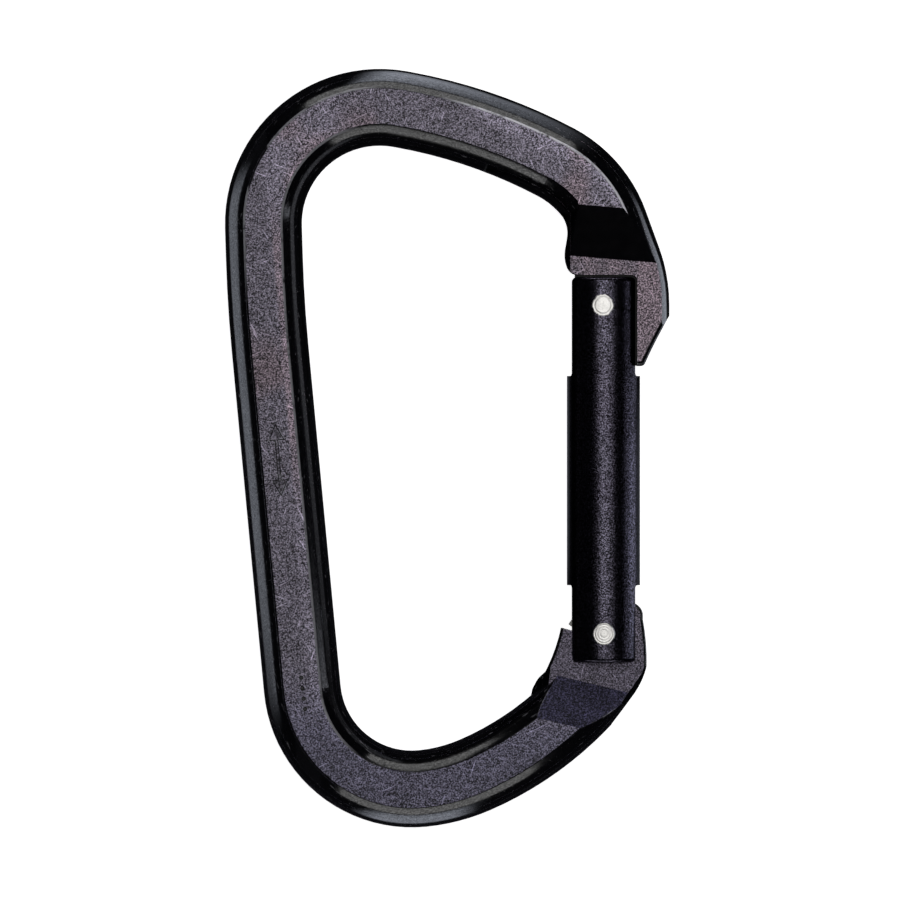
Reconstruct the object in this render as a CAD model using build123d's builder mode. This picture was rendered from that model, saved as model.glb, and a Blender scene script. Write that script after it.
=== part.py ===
from build123d import *
from math import cos, radians, sin
import os

os.makedirs("parts", exist_ok=True)

# A straight-gate offset-D carabiner, lying flat: +Y towards the nose, +X towards the gate, +Z out of the
# front flat. Its mid-plane is z = 0 and the origin is the centre of its bounding box. Millimetres, degrees.

# The bar that the frame is bent from, with a flat coined on its front and back
bar_half_width = 5.5        # across the bar, in the plane of the frame
flat_half = 5.3             # mid-plane to either coined flat
flat_width = 5.1
flat_edge_radius = 0.3
top_basket_radius = 16.6    # along the centreline, as are all of the bar's bends
low_basket_radius = 15.7

# Nose: level milled faces, a latch hook in the middle, and an outer strip beside the gate
nose_bar_x = 26.3           # centreline of the bar where the nose runs straight down
nose_tip_y = 11.65
nose_face = 3.6             # mid-plane to either milled face
nose_ramp_foot = (22.5, 26.9)
nose_ramp_run = 7.4
nose_ramp_heading = 85.2    # direction in which the ramp climbs
shoulder_y = 24.62          # the nose stops here above the gate's end
strip_inner_x = 27.15       # the strip starts here beside the gate's end
pocket_corner_radius = 0.8
strip_tip_radius = 0.7
tip_corner_radius = 0.5

# Gate: a round bar hinged at the pivot, with a through slot at each end
pivot_x, pivot_y = 22.38, -26.55
gate_radius = 5.22
gate_foot = -4.1            # this length and the three below run along the gate from the pivot
gate_tip = 50.85
hinge_slot_end = 6.9
latch_slot_start = 36.75
gate_end_radius = 0.6
slot_half = 2.65
slot_corner_radius = 0.5

# Tangs of the frame that stand in the gate's slots
tang_half = 2.55
tang_edge_radius, tang_rim = 0.45, 0.35
hinge_ramp_run = 6.5
hinge_ramp_distance = 7.35  # pivot to the ramp's foot
hinge_ramp_heading = 256.5
heel_bevel = ((4.9, -6.4), 55.5, 4.2)       # a point on it from the pivot, its heading and half its length
inner_bevel = ((-7.95, -7.9), 262.5, 3.1)  # the same on the inner side
bevel_width, bevel_drop = 2.4, 2.6

# Rivets
hinge_pin_radius = 1.6
hinge_hole_radius = 1.67
latch_pin_radius = 1.5
latch_shift = -0.15         # the latch rivet stands a little inside the gate's axis
latch_notch_radius = 1.62
latch_along = 46.8          # pivot to the latch rivet, along the gate
peen_proud = 0.04

# Spring and plunger, in a bore beside the gate's axis
bore_offset = -2.45
bore_radius = 1.96
bore_end = 26.0
plunger_radius = 1.9
plunger_top = 12.0
plunger_foot = 0.43
eye_clearance = 0.3
lug_half = 0.9
wire_radius = 0.28
coil_radius = 1.45
coil_turns = 10
spring_gap = 0.03

# Generic marks engraved in the front flat
mark_depth, mark_wall_slope = 0.15, 45
arrow_length, arrow_head, arrow_head_width, arrow_shaft_width = 10.4, 2.4, 2.4, 0.55
arrow_centre, arrow_heading = (-24.0, -1.8), 95.1
dot_radius, dot_pitch, dot_count = 0.32, 1.5, 4
dots_centre, dots_heading = (-20.45, -35.0), 97.0


def milled_faces(foot, heading, face, run):
    """Front and back tools: each leaves a level face and a ramp that climbs from its foot to the flat."""
    uphill = Vector(cos(radians(heading)), sin(radians(heading)), 0)
    side_view = Plane(origin=(foot[0], foot[1], 0), x_dir=uphill, z_dir=uphill.rotate(Axis.Z, -90))
    reach, tool_top, tool_half_width = 20, 12, 16
    slope = (flat_half - face) / run
    with BuildPart() as tool:
        with BuildSketch(side_view):
            with BuildLine():
                Polyline(
                    (-reach, face), (0, face), (2 * run, face + 2 * run * slope),
                    (2 * run, tool_top), (-reach, tool_top), close=True,
                )
            make_face()
        extrude(amount=tool_half_width, both=True)
        mirror(about=Plane.XY)
    return tool.part


def side_bevel(point, heading, half_length):
    """Tool for a bevel on front and back, dropping away from a face's edge; the point is from the pivot."""
    along = Vector(cos(radians(heading)), sin(radians(heading)), 0)
    edge_point = (pivot_x + point[0], pivot_y + point[1], 0)
    with BuildPart() as tool:
        with BuildSketch(Plane(origin=edge_point, x_dir=along.rotate(Axis.Z, -90), z_dir=along)):
            for side in (-1, 1):
                with BuildLine():
                    Polyline(
                        (0, side * tang_half), (bevel_width, side * (tang_half - bevel_drop)),
                        (bevel_width, side * 5), (0, side * 5), close=True,
                    )
                make_face()
        extrude(amount=half_length, both=True)
    return tool.part


# --- Frame ---------------------------------------------------------------------------------------------

# Centreline of the bar, from the nose over the top, down the spine and round to the hinge
with BuildLine() as centreline:
    nose_run = Line((nose_bar_x, nose_tip_y - 1), (nose_bar_x, 20.4))
    nose_bend = JernArc(nose_run @ 1, nose_run % 1, 18.15, 20)
    nose_lead = Line(nose_bend @ 1, nose_bend @ 1 + (nose_bend % 1) * 5.7)
    gate_side_bend = JernArc(nose_lead @ 1, nose_lead % 1, 16.2, 42.2)
    top_run = JernArc(gate_side_bend @ 1, gate_side_bend % 1, 75.2, 17.5)
    top_lead = Line(top_run @ 1, top_run @ 1 + (top_run % 1) * 0.6)
    top_basket = JernArc(top_lead @ 1, top_lead % 1, top_basket_radius, 102)
    spine_lead = Line(top_basket @ 1, top_basket @ 1 + (top_basket % 1) * 4.2)
    spine_bend = JernArc(spine_lead @ 1, spine_lead % 1, 200, 3.7)
    spine = Line(spine_bend @ 1, spine_bend @ 1 + (spine_bend % 1) * 49.2)
    low_basket = JernArc(spine @ 1, spine % 1, low_basket_radius, 90.2)
    low_bend = JernArc(low_basket @ 1, low_basket % 1, 25, 17.9)
    low_run = JernArc(low_bend @ 1, low_bend % 1, 46.4, 29.1)
    hinge_lead = Line(low_run @ 1, low_run @ 1 + (low_run % 1) * 1.2)

# Nose plate: the forged left side of the nose, down to the shoulder
with BuildPart() as nose_plate:
    with BuildSketch():
        with BuildLine():
            inner_edge = Spline((14.2, 35.3), (16.15, 33.6), (17.25, 31.0), (16.9, 28.2), (17.1, 26.0))
            corner = ThreePointArc(inner_edge @ 1, (17.7, 25.05), (18.9, shoulder_y))
            Polyline(corner @ 1, (27.0, shoulder_y), (26.0, 30.0), (21.5, 35.0), (16.5, 37.5), inner_edge @ 0)
        make_face()
    extrude(amount=flat_half, both=True)
    # Bevelled towards the inside, where it carries on the round of the bar
    bevel_foot_x, bevel_top_x = 15.2, 18.75
    with BuildSketch(Plane.XZ):
        for side in (-1, 1):
            with BuildLine():
                Polyline(
                    (bevel_foot_x, 0), (bevel_top_x, side * flat_half), (bevel_top_x, side * 7),
                    (bevel_foot_x - 3, side * 7), (bevel_foot_x - 3, 0), close=True,
                )
            make_face()
    extrude(amount=-40, mode=Mode.SUBTRACT)

# Latch hook: stands in the gate's top slot, with a notch that is open to the inside for the latch rivet
latch_x, latch_y = pivot_x + latch_shift, pivot_y + latch_along
notch_top, notch_bottom = latch_y + latch_notch_radius, latch_y - latch_notch_radius
with BuildPart() as latch_hook:
    with BuildSketch():
        with BuildLine():
            Polyline(
                (28.0, 25.5), (18.3, 25.5), (18.3, 23.9), (19.6, notch_top + 0.1), (latch_x, notch_top),
            )
            notch_back = (latch_x + latch_notch_radius, latch_y)
            ThreePointArc((latch_x, notch_top), notch_back, (latch_x, notch_bottom))
            Polyline(
                (latch_x, notch_bottom), (20.4, notch_bottom - 0.1), (20.0, 16.6), (24.2, 12.3),
                (25.4, 11.7), (28.0, 11.7), (28.0, 25.5),
            )
        make_face()
        fillet(vertices().sort_by_distance((20.0, 16.6))[0], 1.2)
    extrude(amount=tang_half, both=True)

# Hinge plate, drawn about the pivot: the eye, the horn on its left and the shelf where the plunger bears
horn, shelf_y = (-6.05, 0.8), 0.4
eye_radius = 2.8
eye_top = (0.3, (eye_radius**2 - 0.3**2) ** 0.5)
eye_left = (-((eye_radius**2 - shelf_y**2) ** 0.5), shelf_y)
heel_start, heel_middle, heel_end = (4.11, -8.95), (5.46, -6.66), (6.13, -4.7)
top_right = (5.6, 4.4)
with BuildPart() as hinge_plate:
    with BuildSketch(Plane(origin=(pivot_x, pivot_y, 0))):
        with BuildLine():
            left_side = ThreePointArc(horn, (-7.02, -2.6), (-8.3, -5.5))
            flank_corner, flank_foot = (-9.65, -6.95), (-10.35, -8.8)
            Polyline(left_side @ 1, (-9.25, -6.35), flank_corner, (-10.15, -7.9), flank_foot)
            Polyline(flank_foot, (-6.0, -11.0), (2.2, -9.9), heel_start)
            heel = ThreePointArc(heel_start, heel_middle, heel_end)
            ThreePointArc(heel @ 1, (6.03, -1.2), (top_right[0], 2.0))
            Polyline((top_right[0], 2.0), top_right, (eye_top[0], top_right[1]), eye_top)
            RadiusArc(eye_top, eye_left, -eye_radius)
            Polyline(eye_left, (-4.6, shelf_y), horn)
        make_face()
        fillet(vertices().sort_by_distance(top_right)[0], 1.8)
    extrude(amount=tang_half, both=True)
    rims = edges().filter_by(Axis.Z, reverse=True)
    fillet(rims.filter_by(lambda e: e.center().X > pivot_x + 4.2), tang_edge_radius)
    chamfer(rims.filter_by(lambda e: e.center().X < pivot_x - 6.4 and e.center().Y > pivot_y - 4), tang_rim)
    add(side_bevel(*inner_bevel), mode=Mode.SUBTRACT)

with BuildPart() as frame_body:
    with BuildSketch(Plane(origin=centreline.line @ 0, x_dir=(1, 0, 0), z_dir=(0, 1, 0))):
        with BuildLine():
            Line((-flat_width / 2, flat_half), (flat_width / 2, flat_half))
            ThreePointArc((flat_width / 2, flat_half), (bar_half_width, 0), (flat_width / 2, -flat_half))
            Line((flat_width / 2, -flat_half), (-flat_width / 2, -flat_half))
            ThreePointArc((-flat_width / 2, -flat_half), (-bar_half_width, 0), (-flat_width / 2, flat_half))
        make_face()
        fillet(vertices(), flat_edge_radius)
    sweep(path=centreline.line)
    add(nose_plate.part)
    # Level faces and ramps at the nose and at the hinge
    add(milled_faces(nose_ramp_foot, nose_ramp_heading, nose_face, nose_ramp_run), mode=Mode.SUBTRACT)
    ramp_back = Vector(cos(radians(hinge_ramp_heading)), sin(radians(hinge_ramp_heading)))
    hinge_ramp_foot = Vector(pivot_x, pivot_y) + ramp_back * hinge_ramp_distance
    hinge_tool = milled_faces(tuple(hinge_ramp_foot), hinge_ramp_heading, tang_half, hinge_ramp_run)
    add(hinge_tool, mode=Mode.SUBTRACT)
    # Room for the gate's end, and the slanted tip of the strip beside it
    with BuildSketch():
        with BuildLine():
            Polyline((5, 5), (strip_inner_x, 5), (strip_inner_x, shoulder_y), (5, shoulder_y), close=True)
        make_face()
        fillet(vertices().sort_by_distance((strip_inner_x, shoulder_y))[0], pocket_corner_radius)
    extrude(amount=2 * flat_half, both=True, mode=Mode.SUBTRACT)
    tip_kink, tip_end = (31.7, 18.7), (28.1, nose_tip_y)
    with BuildSketch():
        with BuildLine():
            ThreePointArc(tip_kink, (29.75, 15.1), tip_end)
            Polyline(tip_end, (26.0, nose_tip_y), (26.0, 5), (36, 5), (36, tip_kink[1]), tip_kink)
        make_face()
        fillet(vertices().sort_by_distance(tip_end)[0], tip_corner_radius)
    extrude(amount=2 * flat_half, both=True, mode=Mode.SUBTRACT)
    for face in (-nose_face, nose_face):
        fillet(edges().sort_by_distance((29.75, 15.1, face))[0], strip_tip_radius)
    add(latch_hook.part)
    add(hinge_plate.part)
    # The heel, trimmed where the bar meets the hinge plate
    with BuildSketch(Plane(origin=(pivot_x, pivot_y, 0))):
        with BuildLine():
            heel_trim = ThreePointArc(heel_start, heel_middle, heel_end)
            Polyline(heel_trim @ 1, (9, heel_end[1]), (9, -14.5), (1.1, -13.0), heel_start)
        make_face()
    extrude(amount=flat_half, both=True, mode=Mode.SUBTRACT)
    # Bevel round the heel, where the round of the bar runs out
    add(side_bevel(*heel_bevel), mode=Mode.SUBTRACT)
    with Locations((pivot_x, pivot_y)):
        Hole(radius=hinge_hole_radius)
    # Load-direction arrow along the spine, and a row of punched dots below it
    with BuildSketch(Plane(origin=(*arrow_centre, flat_half)).rotated((0, 0, arrow_heading))):
        Rectangle(arrow_length - arrow_head, arrow_shaft_width)
        for end in (-1, 1):
            tip = end * arrow_length / 2
            barb = end * (arrow_length / 2 - arrow_head)
            with BuildLine():
                Polyline((tip, 0), (barb, arrow_head_width / 2), (barb, -arrow_head_width / 2), close=True)
            make_face()
    extrude(amount=-mark_depth, taper=mark_wall_slope, mode=Mode.SUBTRACT)
    with BuildSketch(Plane(origin=(*dots_centre, flat_half)).rotated((0, 0, dots_heading))):
        with GridLocations(dot_pitch, 1, dot_count, 1):
            Circle(dot_radius)
    extrude(amount=-mark_depth, taper=mark_wall_slope, mode=Mode.SUBTRACT)
frame_body.part.label = "frame_body"

# --- Gate ----------------------------------------------------------------------------------------------

with BuildPart() as gate_arm:
    with BuildSketch(Plane(origin=(pivot_x, pivot_y + gate_foot, 0), x_dir=(1, 0, 0), z_dir=(0, 1, 0))):
        Circle(gate_radius)
    extrude(amount=gate_tip - gate_foot)
    fillet(edges().filter_by(GeomType.CIRCLE), gate_end_radius)
    # Slots for the hinge plate and the latch hook, rounded where their sides meet their ends
    with BuildSketch(Plane(origin=(pivot_x, pivot_y, 0), x_dir=(0, 1, 0), z_dir=(1, 0, 0))):
        for low, high in ((gate_foot - 1, hinge_slot_end), (latch_slot_start, gate_tip + 1)):
            with Locations(((low + high) / 2, 0)):
                Rectangle(high - low, 2 * slot_half)
        slot_corners = [v for v in vertices() if gate_foot < v.X < gate_tip]
        fillet(slot_corners, slot_corner_radius)
    extrude(amount=2 * gate_radius, both=True, mode=Mode.SUBTRACT)
    with Locations(Plane(origin=(pivot_x + bore_offset, pivot_y + hinge_slot_end, 0), z_dir=(0, 1, 0))):
        bore_base = (Align.CENTER, Align.CENTER, Align.MIN)
        Cylinder(bore_radius, bore_end - hinge_slot_end, align=bore_base, mode=Mode.SUBTRACT)
    with Locations((pivot_x, pivot_y)):
        Hole(radius=hinge_pin_radius)
    with Locations((latch_x, latch_y)):
        Hole(radius=latch_pin_radius)
gate_arm.part.label = "gate_arm"


def peened_rivet(x, y, radius):
    """A pin whose peened ends follow the round of the gate and stand a little proud of it."""
    with BuildPart() as rivet:
        with Locations((x, y, 0)):
            Cylinder(radius, 3 * gate_radius)
        with Locations((pivot_x, y, 0)):
            Cylinder(gate_radius + peen_proud, 4 * radius, rotation=(90, 0, 0), mode=Mode.INTERSECT)
    return rivet


hinge_rivet = peened_rivet(pivot_x, pivot_y, hinge_pin_radius)
hinge_rivet.part.label = "hinge_rivet"
latch_rivet = peened_rivet(latch_x, latch_y, latch_pin_radius)
latch_rivet.part.label = "latch_rivet"

# --- Spring and plunger --------------------------------------------------------------------------------

with BuildPart() as spring_plunger:
    with Locations(Plane(origin=(pivot_x + bore_offset, pivot_y + plunger_foot, 0), z_dir=(0, 1, 0))):
        Cylinder(plunger_radius, plunger_top - plunger_foot, align=(Align.CENTER, Align.CENTER, Align.MIN))
    # Stepped so that the toe passes beside the eye of the hinge plate
    with BuildSketch(Plane(origin=(pivot_x, pivot_y, 0))):
        with BuildLine():
            step_x, step_y = -eye_radius - eye_clearance, eye_radius + eye_clearance
            Polyline((step_x, -1), (step_x, step_y), (1, step_y), (1, -1), close=True)
        make_face()
        with BuildLine():
            Polyline((-5, 0), (-4.05, plunger_foot), (-4.5, 0.9), (-5, 0.9), close=True)
        make_face()
    extrude(amount=2 * plunger_radius, both=True, mode=Mode.SUBTRACT)
    # The lug whose corner shows beside the gate
    with BuildSketch(Plane(origin=(pivot_x, pivot_y, 0))):
        with BuildLine():
            Polyline((-4.0, 1.0), (-4.65, 1.0), (-5.0, 1.3), (-4.55, 1.95), (-4.0, 2.3), close=True)
        make_face()
    extrude(amount=lug_half, both=True)
spring_plunger.part.label = "spring_plunger"

with BuildPart() as gate_spring:
    coil_low = plunger_top + wire_radius + spring_gap
    coil_pitch = (bore_end - wire_radius - spring_gap - coil_low) / coil_turns
    with BuildLine() as coil:
        for turn in range(coil_turns):
            start = (pivot_x + bore_offset, pivot_y + coil_low + turn * coil_pitch, 0)
            Helix(coil_pitch, coil_pitch, coil_radius, center=start, direction=(0, 1, 0))
    with BuildSketch(Plane(origin=coil.line @ 0, z_dir=coil.line % 0)):
        Circle(wire_radius)
    sweep(path=coil.line)
gate_spring.part.label = "gate_spring"

for piece in (frame_body, gate_arm, hinge_rivet, latch_rivet, spring_plunger, gate_spring):
    export_step(piece.part, f"parts/{piece.part.label}.step")
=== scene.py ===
import math
import random
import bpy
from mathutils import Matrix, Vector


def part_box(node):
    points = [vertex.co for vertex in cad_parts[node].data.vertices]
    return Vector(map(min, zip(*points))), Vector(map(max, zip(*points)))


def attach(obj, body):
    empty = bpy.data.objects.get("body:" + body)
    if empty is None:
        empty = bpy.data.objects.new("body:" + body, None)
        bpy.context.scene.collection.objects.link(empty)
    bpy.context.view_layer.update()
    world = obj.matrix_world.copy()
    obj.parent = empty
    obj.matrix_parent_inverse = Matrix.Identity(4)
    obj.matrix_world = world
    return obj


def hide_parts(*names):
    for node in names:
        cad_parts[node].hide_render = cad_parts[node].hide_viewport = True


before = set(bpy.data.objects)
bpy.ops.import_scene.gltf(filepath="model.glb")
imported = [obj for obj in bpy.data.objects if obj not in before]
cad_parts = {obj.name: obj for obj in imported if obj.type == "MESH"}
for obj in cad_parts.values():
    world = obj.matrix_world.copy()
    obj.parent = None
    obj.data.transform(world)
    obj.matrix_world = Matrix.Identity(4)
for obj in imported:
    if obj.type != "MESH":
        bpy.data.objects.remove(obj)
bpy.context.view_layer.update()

from types import SimpleNamespace

import bmesh
import bpy
from mathutils import Vector

# A black anodised carabiner lying face up on a white table. Metres, in the CAD frame; materials work in
# millimetres of the object's own space, so that they stay put on a piece when it moves.

MM = 0.001
PER_MM = 1000.0
FLAT_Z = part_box("frame_body")[1].z

# Levels of the frame's faces above its mid-plane, in millimetres
COINED_FLAT = FLAT_Z * PER_MM
NOSE_FACE = 3.6
HINGE_FACE = 2.55
MARK_FLOOR = COINED_FLAT - 0.15

# Horizontal part of the ramps' normals, for an upright part of 1
HINGE_RAMP_NORMAL = (0.0988, 0.4114)
NOSE_RAMP_NORMAL = (-0.0192, -0.2289)

# The spine's middle line leans: its X where Y is 0, and the change in X for each millimetre of Y
SPINE_X, SPINE_LEAN = -23.53, -0.0847

# The flat's outer edge on the top right, as two lines: the heading across each, and how far out it lies
TOP_RIGHT_EDGE = (((0.43, 0.9), 44.8), ((0.8, 0.6), 40.7))

GATE_RADIUS = 5.22


# --- Node materials ------------------------------------------------------------------------------------

class Shader:
    """A node material under construction, with object-space position and normal to hand."""

    def __init__(self, name):
        self.material = bpy.data.materials.new(name)
        self.material.use_nodes = True
        self.nodes = self.material.node_tree.nodes
        self.links = self.material.node_tree.links
        self.nodes.clear()
        place = self.nodes.new("ShaderNodeTexCoord")
        self.position = self.vector("MULTIPLY", place.outputs["Object"], (PER_MM, PER_MM, PER_MM))
        self.normal = place.outputs["Normal"]

    def feed(self, socket, value):
        if isinstance(value, bpy.types.NodeSocket):
            self.links.new(value, socket)
        else:
            socket.default_value = value

    def math(self, operation, a, b=0.0):
        node = self.nodes.new("ShaderNodeMath")
        node.operation = operation
        self.feed(node.inputs[0], a)
        self.feed(node.inputs[1], b)
        return node.outputs[0]

    def total(self, first, *others):
        for other in others:
            first = self.math("ADD", first, other)
        return first

    def product(self, first, *others):
        for other in others:
            first = self.math("MULTIPLY", first, other)
        return first

    def largest(self, first, *others):
        for other in others:
            first = self.math("MAXIMUM", first, other)
        return first

    def less(self, first, *others):
        for other in others:
            first = self.math("SUBTRACT", first, other)
        return first

    def outside(self, mask):
        """0 where the mask is 1, and 1 where it is 0."""
        return self.math("SUBTRACT", 1.0, mask)

    def vector(self, operation, a, b=(0.0, 0.0, 0.0)):
        node = self.nodes.new("ShaderNodeVectorMath")
        node.operation = operation
        self.feed(node.inputs[0], a)
        self.feed(node.inputs[1], b)
        return node.outputs[0]

    def split(self, value):
        node = self.nodes.new("ShaderNodeSeparateXYZ")
        self.feed(node.inputs[0], value)
        return node.outputs

    def join(self, x, y, z):
        node = self.nodes.new("ShaderNodeCombineXYZ")
        for socket, value in zip(node.inputs, (x, y, z)):
            self.feed(socket, value)
        return node.outputs[0]

    def tinted(self, value, colour):
        """A grey value as a colour, by the factors given for red, green and blue."""
        return self.vector("MULTIPLY", self.join(value, value, value), colour)

    def step(self, value, low, high):
        """0 below low and 1 above high, smooth between them; the other way round when low is the larger."""
        node = self.nodes.new("ShaderNodeMapRange")
        node.interpolation_type = "SMOOTHSTEP"
        self.feed(node.inputs["Value"], value)
        node.inputs["From Min"].default_value = min(low, high)
        node.inputs["From Max"].default_value = max(low, high)
        node.inputs["To Min"].default_value = 0.0 if low < high else 1.0
        node.inputs["To Max"].default_value = 1.0 if low < high else 0.0
        return node.outputs[0]

    def spread(self, value, low, high):
        """Maps 0..1 to low..high."""
        node = self.nodes.new("ShaderNodeMapRange")
        self.feed(node.inputs["Value"], value)
        node.inputs["To Min"].default_value = low
        node.inputs["To Max"].default_value = high
        return node.outputs[0]

    def noise(self, size, detail=2.0, rough=0.5, at=None, stretch=(1.0, 1.0, 1.0)):
        """Noise with grains about size mm across, stretched by the factors given."""
        node = self.nodes.new("ShaderNodeTexNoise")
        scaled = self.vector("DIVIDE", self.position if at is None else at, stretch)
        self.links.new(scaled, node.inputs["Vector"])
        node.inputs["Scale"].default_value = 1.0 / size
        node.inputs["Detail"].default_value = detail
        node.inputs["Roughness"].default_value = rough
        return node.outputs["Fac"]

    def turned(self, degrees):
        """The position turned about Z."""
        node = self.nodes.new("ShaderNodeVectorRotate")
        node.rotation_type = "Z_AXIS"
        self.links.new(self.position, node.inputs["Vector"])
        node.inputs["Angle"].default_value = math.radians(degrees)
        return node.outputs[0]

    def facing(self, direction):
        """1 where the surface faces the direction given, as on a flat face, and 0 elsewhere."""
        node = self.nodes.new("ShaderNodeVectorMath")
        node.operation = "DOT_PRODUCT"
        self.links.new(self.normal, node.inputs[0])
        node.inputs[1].default_value = Vector(direction).normalized()
        return self.step(node.outputs["Value"], 0.997, 0.999)

    def mix(self, factor, a, b):
        """Colour a where the factor is 0, and b where it is 1."""
        return self.mixed("RGBA", "RGBA", factor, a, b)

    def blend(self, factor, a, b):
        """Number a where the factor is 0, and b where it is 1."""
        return self.mixed("FLOAT", "VALUE", factor, a, b)

    def mixed(self, data_type, socket_type, factor, a, b):
        node = self.nodes.new("ShaderNodeMix")
        node.data_type = data_type
        self.feed(node.inputs["Factor"], factor)
        ends = [socket for socket in node.inputs if socket.type == socket_type][-2:]
        self.feed(ends[0], a)
        self.feed(ends[1], b)
        return [socket for socket in node.outputs if socket.type == socket_type][0]

    def bump(self, height, distance):
        """Normals for a relief of distance millimetres."""
        node = self.nodes.new("ShaderNodeBump")
        node.inputs["Strength"].default_value = 1.0
        node.inputs["Distance"].default_value = distance * MM
        self.feed(node.inputs["Height"], height)
        return node.outputs[0]

    def finish(self, **sockets):
        """Ends the tree in a Principled surface; sockets are its inputs, with _ for a space."""
        surface = self.nodes.new("ShaderNodeBsdfPrincipled")
        output = self.nodes.new("ShaderNodeOutputMaterial")
        for name, value in sockets.items():
            self.feed(surface.inputs[name.replace("_", " ")], value)
        self.links.new(surface.outputs[0], output.inputs["Surface"])
        return self.material


def grey(value, blue=1.0):
    """A grey, with its blue taken times the factor given."""
    return (value, value, value * blue, 1.0)


def along_bar(s):
    """Coordinates that run round the loop of the bar, so that streaks follow it."""
    half_width, half_length, scale = 28.0, 48.0, 30.0
    x, y, z = s.split(s.position)
    across = s.math("SQRT", s.total(
        s.math("POWER", s.math("DIVIDE", x, half_width), 2.0),
        s.math("POWER", s.math("DIVIDE", y, half_length), 2.0),
    ))
    return s.join(s.product(across, scale), s.product(s.math("ARCTAN2", y, x), scale), z)


def edge_wear(s, reach):
    """1 on the sharp edges of a part and 0 away from them, reach millimetres wide."""
    rounded = s.nodes.new("ShaderNodeBevel")
    rounded.samples = 6
    rounded.inputs["Radius"].default_value = reach * MM
    plain = s.nodes.new("ShaderNodeNewGeometry")
    match = s.nodes.new("ShaderNodeVectorMath")
    match.operation = "DOT_PRODUCT"
    s.links.new(rounded.outputs[0], match.inputs[0])
    s.links.new(plain.outputs["Normal"], match.inputs[1])
    return s.step(match.outputs["Value"], 0.995, 0.93)


def specks(s, size, heading):
    """Fine light and dark specks, each about size millimetres across."""
    grain = s.noise(size, 1.0, 0.5, at=s.turned(heading))
    return s.step(grain, 0.5, 0.68), s.step(grain, 0.5, 0.34)


def level(s, height, value):
    """1 where the height is at the value given, as on a milled face."""
    return s.step(s.math("ABSOLUTE", s.less(height, value)), 0.009, 0.003)


def scratches(s, headings):
    """Short light scratches along each heading, in scattered groups."""
    lines = 0.0
    for heading in headings:
        along = s.noise(0.3, 1.0, 0.5, at=s.turned(-heading), stretch=(14.0, 0.8, 1.0))
        groups = s.noise(5.0, 1.0, 0.5, at=s.turned(heading + 70.0))
        lines = s.largest(lines, s.product(s.step(along, 0.68, 0.76), s.step(groups, 0.5, 0.6)))
    return lines


def frame_regions(s):
    """The frame's coordinates in millimetres, and a mask from 0 to 1 for each of its regions."""
    x, y, z = s.split(s.position)
    height = s.math("ABSOLUTE", z)
    spine = s.step(x, -14.0, -16.0)
    nose_face = level(s, height, NOSE_FACE)
    hinge_face = s.product(level(s, height, HINGE_FACE), s.step(y, 2.0, 0.0))
    mark_floor = s.product(level(s, height, MARK_FLOOR), spine)
    flat = s.largest(level(s, height, COINED_FLAT), nose_face, hinge_face, mark_floor)
    hinge_ramp, nose_ramp = (
        s.largest(*(s.facing((*normal, side)) for side in (1.0, -1.0)))
        for normal in (HINGE_RAMP_NORMAL, NOSE_RAMP_NORMAL)
    )
    # How far the point is from the spine's middle line, towards the inside of the loop
    aside = s.less(x, s.total(s.product(y, SPINE_LEAN), SPINE_X))

    # Stamped marks in the spine's flat: the walls of all of them, and the floors of the punched dots
    near_middle = s.step(s.math("ABSOLUTE", aside), 1.7, 1.5)
    below_flat = s.product(s.step(height, COINED_FLAT - 0.004, COINED_FLAT - 0.012), s.step(height, 3.0, 4.0))
    arrow_floor = s.product(mark_floor, s.step(y, -22.0, -18.0))
    stamped = s.product(near_middle, below_flat, spine, s.outside(arrow_floor))
    return SimpleNamespace(
        x=x, y=y, height=height, aside=aside, flat=flat, worn=s.largest(flat, hinge_ramp),
        hinge_face=hinge_face, hinge_ramp=hinge_ramp, nose_ramp=nose_ramp,
        nose_strip=s.product(nose_face, s.step(x, 26.6, 27.4)),
        mark_floor=mark_floor, stamped=stamped,
        # Painted shade: the nose's surfaces at or below the hinge face's level, which show in the slot
        # between the nose's shoulder and the gate, get a black that reflects next to nothing
        slot=s.product(s.step(height, 2.58, 2.56), s.step(y, 8.0, 10.0)),
    )


def flat_tone(s, on, grit, cloud, lines):
    """How light the flats are: speckled, clouded and scratched, lighter where they are rubbed, and dimmed on
    the hinge's ramp as painted shade.
    """
    streaks = s.step(s.noise(0.3, 2.0, 0.6, at=along_bar(s), stretch=(1.0, 22.0, 1.0)), 0.25, 0.75)
    scuffs = s.step(s.noise(0.8, 2.0, 0.6, at=s.turned(12.0)), 0.36, 0.3)
    tone = s.total(s.product(grit.light, 0.2), s.product(grit.coarse_light, 0.07), 0.078)
    tone = s.less(tone, s.product(grit.dark, 0.066), s.product(grit.coarse_dark, 0.025))
    tone = s.total(tone, s.spread(streaks, -0.02, 0.02), s.spread(cloud, -0.014, 0.018))
    tone = s.total(tone, s.product(lines, 0.34))
    top_right = s.product(s.step(on.x, 2.0, 12.0), s.step(on.y, 22.0, 32.0))
    bottom = s.step(on.y, -36.0, -44.0)
    tone = s.product(tone, s.blend(top_right, 1.1, 1.2), s.blend(bottom, 1.0, 0.8))
    tone = s.less(tone, s.product(scuffs, 0.03))

    inner_side = s.product(s.step(on.aside, 0.5, 1.6), s.step(on.x, -14.0, -17.0), s.step(on.y, -40.0, -34.0))
    outer_side = 0.0
    for (across_x, across_y), edge in TOP_RIGHT_EDGE:
        reach = s.total(s.product(on.x, across_x), s.product(on.y, across_y))
        outer_side = s.largest(outer_side, s.step(reach, edge - 1.5, edge))
    outer_side = s.product(outer_side, s.step(on.x, 2.0, 8.0))
    # The hinge ramp's factor is painted shade: the flats' worn satin, dimmed where the ramp tilts away from
    # the overhead light.
    for mask, factor in (
        (on.hinge_face, 0.7), (on.nose_strip, 1.3), (on.hinge_ramp, 0.32),
        (inner_side, 1.4), (outer_side, 1.55), (on.mark_floor, 0.6),
    ):
        tone = s.product(tone, s.blend(mask, 1.0, factor))
    return s.largest(tone, 0.006)


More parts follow.
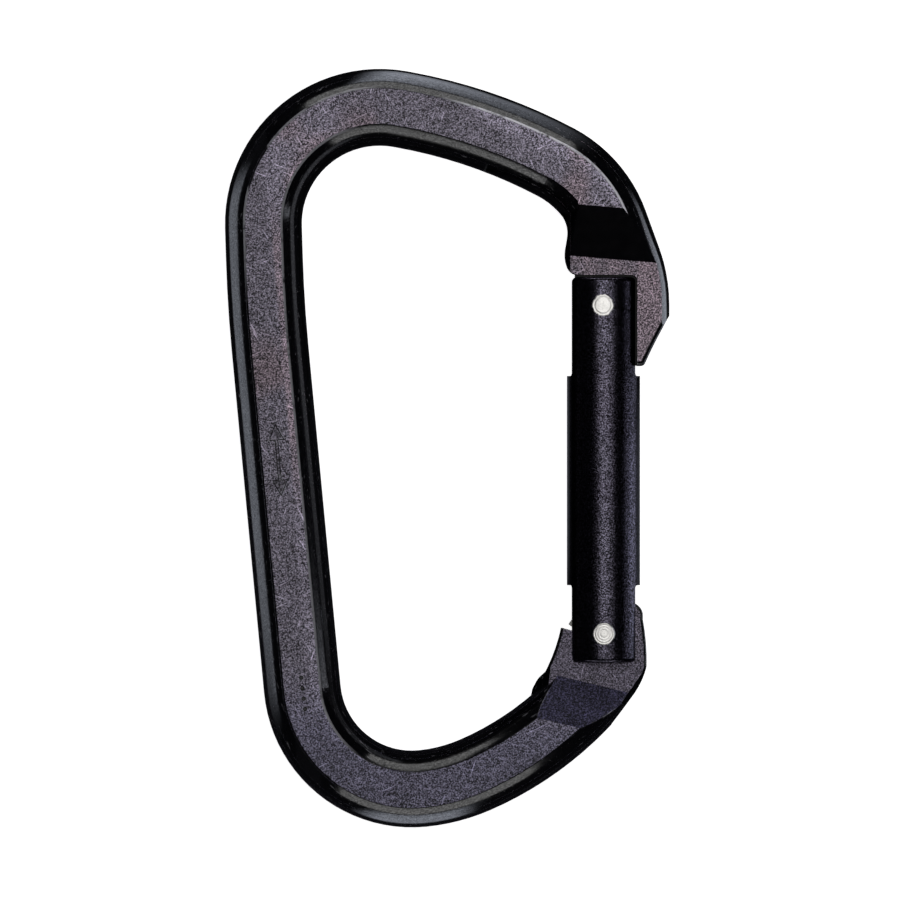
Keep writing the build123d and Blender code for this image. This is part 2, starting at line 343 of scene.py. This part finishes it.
def flat_tint(s, on, cloud):
    """The flats' hue: violet grey, pinker in places, bluer at the bottom and on the hinge's ramp."""
    drift = s.noise(15.0, 2.0, 0.5)
    rubbed = s.product(s.step(on.aside, 0.9, 1.5), s.step(on.y, -12.0, 2.0), s.step(on.y, 36.0, 28.0))
    pink = s.largest(s.step(drift, 0.55, 0.66), on.nose_strip, s.product(rubbed, s.spread(cloud, 0.5, 1.0)))
    tint = s.mix(pink, (1.03, 0.93, 1.2, 1.0), (1.2, 0.93, 1.12, 1.0))
    tint = s.mix(s.step(on.y, -30.0, -42.0), tint, (1.0, 0.94, 1.38, 1.0))
    tint = s.mix(on.hinge_face, tint, (1.05, 0.92, 1.28, 1.0))
    return s.mix(on.hinge_ramp, tint, (0.92, 0.84, 1.8, 1.0))


def bare_metal(s, on):
    """Rims worn bare beside the flats, round the top and inside the spine, and sharp edges lower down."""
    facing_x, facing_y, _ = s.split(s.normal)
    outward = s.total(s.product(on.x, facing_x), s.product(on.y, facing_y))
    outer, inner = s.step(outward, 0.0, 1.0), s.step(outward, 0.0, -1.0)
    top_right = s.product(outer, s.step(on.x, -2.0, 6.0), s.step(on.y, 24.0, 30.0))
    top_left = s.product(outer, s.step(on.x, -8.0, -14.0), s.step(on.y, 20.0, 30.0), 0.35)
    inside_spine = s.product(inner, s.step(on.x, -12.0, -16.0), 0.35)
    beside_flat = s.product(s.step(on.height, COINED_FLAT - 0.22, COINED_FLAT - 0.15), s.outside(on.flat))
    rim = s.product(beside_flat, s.largest(top_right, top_left, inside_spine))
    rim = s.product(rim, s.step(s.noise(2.0, 4.0, 0.7), 0.25, 0.5))
    patches = s.step(s.noise(3.0, 4.0, 0.7), 0.45, 0.65)
    wear = s.product(edge_wear(s, 0.25), patches, s.step(on.height, 2.5, 2.6), s.step(on.y, 20.0, 10.0), 0.5)
    return s.largest(rim, wear)


def anodised_frame():
    """Black anodised bar: worn satin grey on the coined and milled flats, dimmed on the hinge's ramp as
    painted shade, near-black gloss elsewhere, and painted shade at the nose's low parts and slot.
    """
    s = Shader("frame_anodised_black")
    on = frame_regions(s)
    grit = SimpleNamespace()
    grit.light, grit.dark = specks(s, 0.21, 0.0)
    grit.coarse_light, grit.coarse_dark = specks(s, 0.36, 33.0)
    cloud = s.step(s.noise(3.0, 4.0, 0.65), 0.3, 0.7)
    lines = scratches(s, (25.0, 72.0, 118.0, 160.0))
    off_nose_ramp = s.outside(on.nose_ramp)

    flank = s.mix(s.step(s.noise(0.5, 3.0), 0.45, 0.75), grey(0.0008, 1.6), grey(0.002, 1.6))
    dings = s.step(s.noise(0.4, 1.0, 0.5, at=along_bar(s), stretch=(1.0, 3.0, 1.0)), 0.66, 0.76)
    flank = s.mix(s.product(dings, cloud, off_nose_ramp), flank, grey(0.09, 1.1))
    satin = s.tinted(flat_tone(s, on, grit, cloud, lines), flat_tint(s, on, cloud))
    colour = s.mix(on.worn, flank, satin)
    colour = s.mix(bare_metal(s, on), colour, grey(0.75, 1.08))
    colour = s.mix(on.stamped, colour, grey(0.004, 1.3))
    # Painted shade in the slot between the nose's shoulder and the gate; it is made fully metallic below, so
    # it reflects next to nothing
    colour = s.mix(on.slot, colour, grey(0.004))

    gloss = s.total(s.spread(s.noise(0.9, 3.0), 0.07, 0.16), s.product(lines, off_nose_ramp, 0.25))
    relief = s.product(s.noise(0.3, 3.0, 0.7), s.blend(on.worn, 0.1, 1.0))
    return s.finish(
        Base_Color=colour,
        Roughness=s.blend(on.worn, gloss, s.spread(grit.coarse_light, 0.42, 0.5)),
        Metallic=s.product(s.largest(s.product(on.worn, 0.5), on.slot), s.outside(on.stamped)),
        Normal=s.bump(relief, 0.03),
        IOR=1.55,
        Specular_IOR_Level=s.less(s.spread(grit.light, 0.46, 0.8), s.product(grit.dark, 0.2)),
    )


def anodised_gate():
    """Gate: blasted before anodising, so its black is a grainy sheen with next to no colour of its own."""
    s = Shader("gate_anodised_satin")
    light, dark = specks(s, 0.21, 0.0)
    coarse_light, coarse_dark = specks(s, 0.36, 33.0)
    sheen = s.total(s.product(light, 0.085), s.product(coarse_light, 0.02), 0.033)
    sheen = s.less(sheen, s.product(dark, 0.03), s.product(coarse_dark, 0.01))
    sheen = s.total(sheen, s.spread(s.step(s.noise(2.5, 3.0), 0.35, 0.7), -0.004, 0.006))
    tone = s.tinted(s.largest(sheen, 0.004), (1.04, 0.96, 1.28))
    wear = s.product(edge_wear(s, 0.2), s.step(s.noise(1.5, 3.0, 0.7), 0.45, 0.6), 0.3)
    return s.finish(
        Base_Color=s.mix(wear, tone, grey(0.16, 1.1)),
        Roughness=s.spread(s.noise(0.35, 3.0), 0.2, 0.28),
        Metallic=1.0,
        Normal=s.bump(s.noise(0.21, 2.0, 0.6), 0.02),
    )


def stainless(name, low_rough, high_rough, shade=1.0):
    """Bright steel with fine scratches and stains; a shade below 1 darkens it."""
    s = Shader(name)
    hair = s.noise(0.2, 3.0, 0.7, stretch=(1.0, 5.0, 1.0))
    stain = s.step(s.noise(0.45, 3.0, 0.7), 0.3, 0.6)
    bright = s.product(s.spread(hair, 0.62 * shade, 0.85 * shade), s.spread(stain, 0.8, 1.0))
    return s.finish(
        Base_Color=s.tinted(bright, (1.02, 1.0, 0.96)),
        Metallic=1.0,
        Roughness=s.spread(hair, low_rough, high_rough),
        Normal=s.bump(hair, 0.012),
    )


def dress(node, material):
    """Gives a CAD node its material."""
    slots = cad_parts[node].data.materials
    slots.clear()
    slots.append(material)


# --- Peened rivets -------------------------------------------------------------------------------------

def object_from(name, made):
    """Turns a bmesh into an object in the scene."""
    mesh = bpy.data.meshes.new(name)
    made.to_mesh(mesh)
    made.free()
    new_object = bpy.data.objects.new(name, mesh)
    bpy.context.scene.collection.objects.link(new_object)
    return new_object


def peened_depth(x, r, share, grooves):
    """How far below its crown a head is, x to the side and r millimetres out, at a share of its radius."""
    groove_width, flatness, rim_start, rim_drop = 0.07, 0.45, 0.92, 0.135
    sunk = sum(depth * math.exp(-((r - groove) / groove_width) ** 2) for groove, depth in grooves)
    gate_drop = GATE_RADIUS - math.sqrt(GATE_RADIUS ** 2 - x ** 2)
    rim = max(0.0, (share - rim_start) / (1.0 - rim_start))
    return flatness * gate_drop + sunk + rim_drop * rim ** 2


def rivet(name, node, radius, grooves, rim_wander):
    """A peened rivet in place of a CAD pin: grooved heads that follow the gate's round a little flatter, and
    the pin between. Each groove has its radius and its depth; rim_wander makes the outline uneven."""
    spokes, rings, seed = 64, 26, 18
    low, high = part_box(node)
    centre = (low + high) / 2
    top = high.z * PER_MM
    crown, pole = top - 0.01, top - 0.03
    draw = random.Random(seed)
    wander = [draw.uniform(-rim_wander, rim_wander) for _ in range(spokes)]
    wander = [(wander[i - 1] + 2 * wander[i] + wander[(i + 1) % spokes]) / 4 for i in range(spokes)]
    following = [(i + 1) % spokes for i in range(spokes)]
    made = bmesh.new()
    rims = []
    for side in (1, -1):
        middle = made.verts.new((centre.x, centre.y, side * pole * MM))
        loops = []
        for j in range(1, rings + 1):
            share = j / rings
            loop = []
            for i in range(spokes):
                angle = 2 * math.pi * i / spokes
                r = share * (radius + wander[i] * share)
                x, y = r * math.cos(angle), r * math.sin(angle)
                z = crown - peened_depth(x, r, share, grooves)
                loop.append(made.verts.new((centre.x + x * MM, centre.y + y * MM, side * z * MM)))
            loops.append(loop)
        for i, k in enumerate(following):
            made.faces.new((middle, loops[0][i], loops[0][k]))
        for inner, outer in zip(loops, loops[1:]):
            for i, k in enumerate(following):
                made.faces.new((inner[i], outer[i], outer[k], inner[k]))
        rims.append(loops[-1])
    front, back = rims
    for i, k in enumerate(following):
        made.faces.new((front[i], back[i], back[k], front[k]))
    bmesh.ops.recalc_face_normals(made, faces=made.faces)
    piece = object_from(name, made)
    for face in piece.data.polygons:
        face.use_smooth = True
    piece.data.materials.append(stainless(name + "_steel", 0.28, 0.5))
    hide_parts(node)
    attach(piece, "gate")


# --- Studio --------------------------------------------------------------------------------------------

# The table is this far below the level of the part's underside, and the cards are as far above it
FLOOR_GAP = 0.00002


def camera():
    """Looks straight down on the part, from far enough away to show its sides as the photograph does."""
    distance, view_width = 1.5, 0.12857
    data = bpy.data.cameras.new("camera")
    camera_object = bpy.data.objects.new("camera", data)
    bpy.context.scene.collection.objects.link(camera_object)
    camera_object.location = (0.00046, -0.00036, distance)
    data.lens = data.sensor_width * distance / view_width
    data.clip_end = 10.0
    bpy.context.scene.camera = camera_object


def softbox(name, place, size, radiance):
    """A rectangular light that points at the part and whose face has the brightness given."""
    data = bpy.data.lights.new(name, "AREA")
    data.shape = "RECTANGLE"
    data.size, data.size_y = size
    data.energy = radiance * math.pi * size[0] * size[1]
    light = bpy.data.objects.new(name, data)
    bpy.context.scene.collection.objects.link(light)
    light.location = place
    light.rotation_euler = (Vector((0.0, 0.0, 0.0)) - Vector(place)).to_track_quat("-Z", "Y").to_euler()
    light.visible_camera = False


def surroundings():
    """Dim all round for reflections, and white behind the table."""
    world = bpy.data.worlds.new("studio")
    world.use_nodes = True
    nodes, links = world.node_tree.nodes, world.node_tree.links
    path = nodes.new("ShaderNodeLightPath")
    tint = nodes.new("ShaderNodeMix")
    tint.data_type = "RGBA"
    unseen, seen = [socket for socket in tint.inputs if socket.type == "RGBA"]
    unseen.default_value = (0.012, 0.012, 0.015, 1.0)
    seen.default_value = (1.0, 1.0, 1.0, 1.0)
    result = [socket for socket in tint.outputs if socket.type == "RGBA"][0]
    links.new(path.outputs["Is Camera Ray"], tint.inputs["Factor"])
    links.new(result, nodes["Background"].inputs["Color"])
    bpy.context.scene.world = world
    bpy.context.scene.view_settings.view_transform = "Standard"


def white_table():
    """A lit white table under the part, which does not show in the part's reflections."""
    half, z = 2.0, -FLAT_Z - FLOOR_GAP
    made = bmesh.new()
    corners = ((-half, -half, z), (half, -half, z), (half, half, z), (-half, half, z))
    made.faces.new([made.verts.new(corner) for corner in corners])
    table = object_from("table_top", made)
    table.visible_glossy = False
    white = bpy.data.materials.new("white_table")
    white.use_nodes = True
    surface = white.node_tree.nodes["Principled BSDF"]
    surface.inputs["Base Color"].default_value = (0.85, 0.85, 0.85, 1.0)
    surface.inputs["Roughness"].default_value = 0.8
    surface.inputs["Emission Color"].default_value = (1.0, 1.0, 1.0, 1.0)
    surface.inputs["Emission Strength"].default_value = 0.95
    table.data.materials.append(white)


def glowing_sheet(name, made, radiance, colour):
    """Ends a bmesh as a light seen only in reflections: its layer glow, times the radiance."""
    sheet = object_from(name, made)
    for seen_by in ("camera", "diffuse", "transmission", "shadow", "volume_scatter"):
        setattr(sheet, "visible_" + seen_by, False)
    paper = bpy.data.materials.new(name)
    paper.use_nodes = True
    nodes, links = paper.node_tree.nodes, paper.node_tree.links
    nodes.clear()
    glow = nodes.new("ShaderNodeAttribute")
    glow.attribute_name = "glow"
    strength = nodes.new("ShaderNodeMath")
    strength.operation = "MULTIPLY"
    strength.inputs[1].default_value = radiance
    emission = nodes.new("ShaderNodeEmission")
    emission.inputs["Color"].default_value = colour
    output = nodes.new("ShaderNodeOutputMaterial")
    links.new(glow.outputs["Fac"], strength.inputs[0])
    links.new(strength.outputs[0], emission.inputs["Strength"])
    links.new(emission.outputs[0], output.inputs["Surface"])
    sheet.data.materials.append(paper)


def card(name, radiance, reach, near_edge):
    """A bright card on the table, which the round flanks mirror. near_edge has points in millimetres, each
    with the heading in degrees in which the card runs away from it for reach millimetres, and its share of
    the light; the card fades at its edges."""
    across, away = 24, 20
    made = bmesh.new()
    glow = made.verts.layers.float.new("glow")
    rows = []
    for i in range(across + 1):
        share = i / across * (len(near_edge) - 1)
        start = min(int(share), len(near_edge) - 2)
        part = share - start
        x, y, heading, lit = (a + (b - a) * part for a, b in zip(near_edge[start], near_edge[start + 1]))
        step_x, step_y = math.cos(math.radians(heading)), math.sin(math.radians(heading))
        side = min(1.0, 4.0 * min(i, across - i) / across)
        side_fade = side * side * (3 - 2 * side)
        row = []
        for j in range(away + 1):
            run = reach * (j / away) ** 2.5
            place = ((x + run * step_x) * MM, (y + run * step_y) * MM, -FLAT_Z + FLOOR_GAP)
            vertex = made.verts.new(place)
            vertex[glow] = lit * side_fade * min(1.0, 0.35 + j / 8)
            row.append(vertex)
        rows.append(row)
    for first, second in zip(rows, rows[1:]):
        for j in range(away):
            made.faces.new((first[j], first[j + 1], second[j + 1], second[j]))
    glowing_sheet(name, made, radiance, (0.92, 0.98, 1.13, 1.0))


def screen(name, x, top, lit):
    """A strip that stands along Y, lit on its left and black on its right. lit has pairs of a place in
    millimetres and the radiance there."""
    backing, foot = 0.1, -COINED_FLAT
    for part, place, share in (("lit", x, 1.0), ("dark", x + backing, 0.0)):
        made = bmesh.new()
        glow = made.verts.layers.float.new("glow")
        columns = []
        for y, radiance in lit:
            column = [made.verts.new((place * MM, y * MM, z * MM)) for z in (foot, top)]
            for vertex in column:
                vertex[glow] = radiance * share
            columns.append(column)
        for first, second in zip(columns, columns[1:]):
            made.faces.new((first[0], second[0], second[1], first[1]))
        glowing_sheet(name + "_" + part, made, 1.0, (0.95, 0.98, 1.1, 1.0))


def studio():
    """White table, dim surroundings, softboxes, and cards and screens for the glossy flanks to mirror."""
    surroundings()
    white_table()
    softbox("overhead", (0.06, 0.07, 0.45), (0.42, 0.34), 1.2)
    softbox("overhead_core", (0.06, 0.07, 0.449), (0.15, 0.3), 1.1)
    # In line with the gate, which mirrors neither of them into the camera
    for y in (-0.5, 0.5):
        softbox("low_fill", (0.0, y, 0.1), (0.6, 0.16), 1.8)
    far, wall_x, wall_top = 500, 500, 150
    for name, radiance, reach, near_edge in (
        ("left_card", 1.5, far, ((-39.5, 47, 152, 1), (-41.5, 20, 175, 1), (-34, -48, 198, 1))),
        ("far_card", 2.5, far, ((-14, 60, 106, 1), (-2, 58, 92, 1), (10, 55.5, 78, 0.55), (28, 46, 48, 0))),
        ("near_card", 2.2, far, ((-19, -61, 252, 1), (-5, -63.6, 272, 1), (9, -62, 292, 1))),
        ("nose_card", 1.9, 13, ((37, 46, 34, 0), (38.5, 34, 22, 0.7), (38.5, 20, 5, 1), (38, 2, 0, 1))),
        ("gate_card", 1.55, far, ((40, 14, 0, 1), (40, -14, 0, 1), (40, -42, 0, 1))),
        ("apron_card", 0.12, 11, ((28.5, 12, 0, 1), (28.5, -14, 0, 1), (28.5, -38, 0, 1))),
        ("sill_card", 0.15, 4.8, ((12, 26, 0, 1), (12, 0, 0, 1), (12, -24, 0, 1))),
    ):
        card(name, radiance, reach, near_edge)
    window_light = ((-36, 0.0), (-24, 0.2), (-8, 0.3), (12, 0.42), (32, 0.52), (36, 0.2))
    screen("window_screen", 4, 2.0, window_light)
    screen("side_wall", wall_x, wall_top, ((-44, 1.3), (12, 1.3)))


dress("frame_body", anodised_frame())
dress("gate_arm", anodised_gate())
rivet("hinge_rivet_peened", "hinge_rivet", 1.6, ((0.55, 0.02), (0.95, 0.02), (1.3, 0.03)), 0.06)
rivet("latch_rivet_peened", "latch_rivet", 1.6, ((1.2, 0.035),), 0.14)
dress("gate_spring", stainless("spring_wire", 0.25, 0.4, shade=0.6))
dress("spring_plunger", stainless("plunger_steel", 0.25, 0.4, shade=0.22))
studio()
camera()
